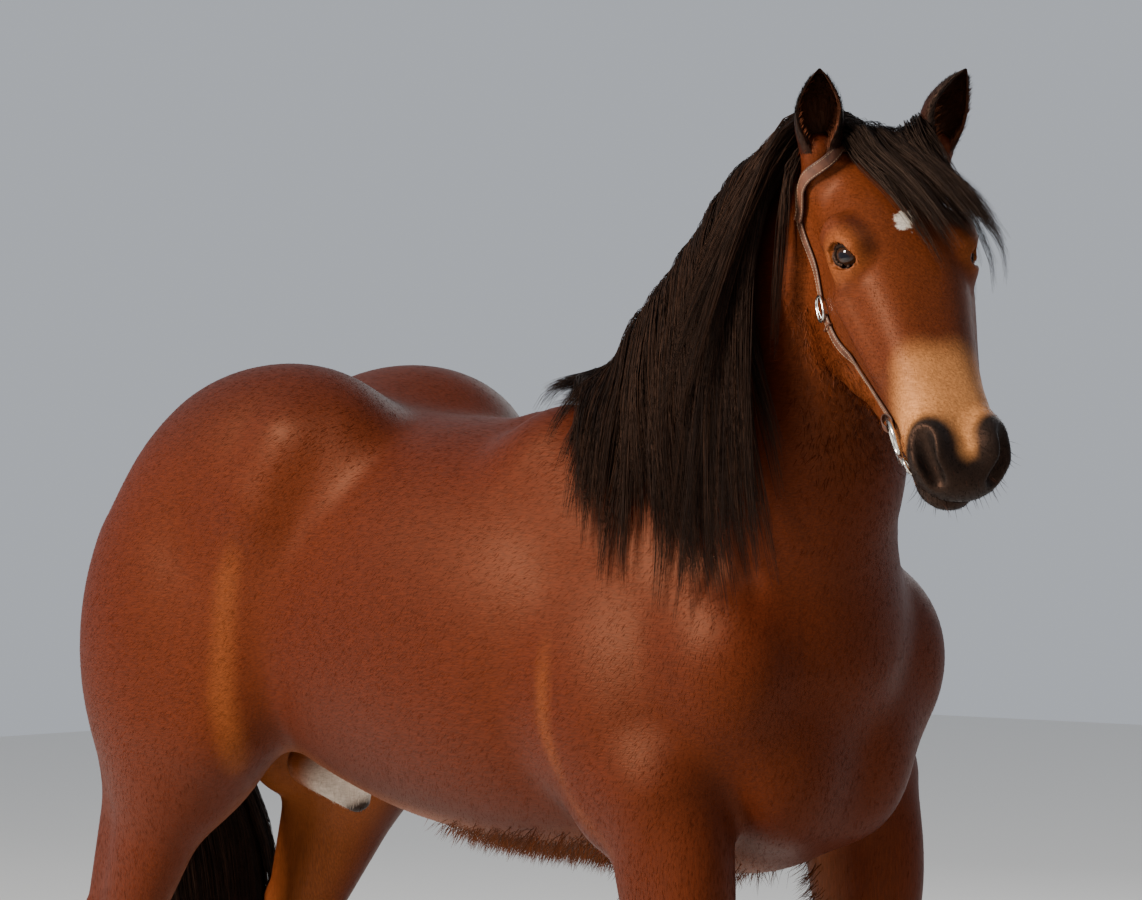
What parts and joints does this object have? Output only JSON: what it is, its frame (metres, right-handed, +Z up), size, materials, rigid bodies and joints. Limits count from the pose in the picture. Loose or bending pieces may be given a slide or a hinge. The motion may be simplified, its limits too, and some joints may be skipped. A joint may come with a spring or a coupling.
{
  "type": "draft horse",
  "caption": "Life-size still model of a bay draft horse standing square with its head turned, wearing a leather headstall with a bit.",
  "frame": {"origin": "on the floor below the middle of the whole model's box", "axes": "+X towards the head along the body, +Y towards the animal's left side, +Z up from the soles"},
  "size_m": [2.4035, 0.7825, 2.1109],
  "materials": {
    "coat": "short glossy reddish bay hair",
    "leg": "short hair, bay above and black below the knee and hock",
    "ear": "short dark hair with paler fuzz inside",
    "hair": "long coarse black hair",
    "horn": "dark ridged horn",
    "eye": "wet, dark brown",
    "leather": "oiled brown strap leather with pale stitching",
    "steel": "worn bright metal"
  },
  "bodies": {
    "root": {"bit_ring_left": "steel", "bit_ring_right": "steel", "buckle_left": "steel", "buckle_right": "steel", "cheek_strap_left": "leather", "cheek_strap_right": "leather", "curb_ring_left": "steel", "curb_ring_right": "steel", "ear_left": "ear", "ear_right": "ear", "eye_left": "eye", "eye_right": "eye", "foreleg_left": "leg", "foreleg_right": "leg", "forelock": "hair", "head": "coat", "hindleg_left": "leg", "hindleg_right": "leg", "hoof_fore_left": "horn", "hoof_fore_right": "horn", "hoof_hind_left": "horn", "hoof_hind_right": "horn", "lower_strap_left": "leather", "lower_strap_right": "leather", "mane": "hair", "neck": "coat", "tail": "hair", "torso": "coat"}
  },
  "joints": []
}
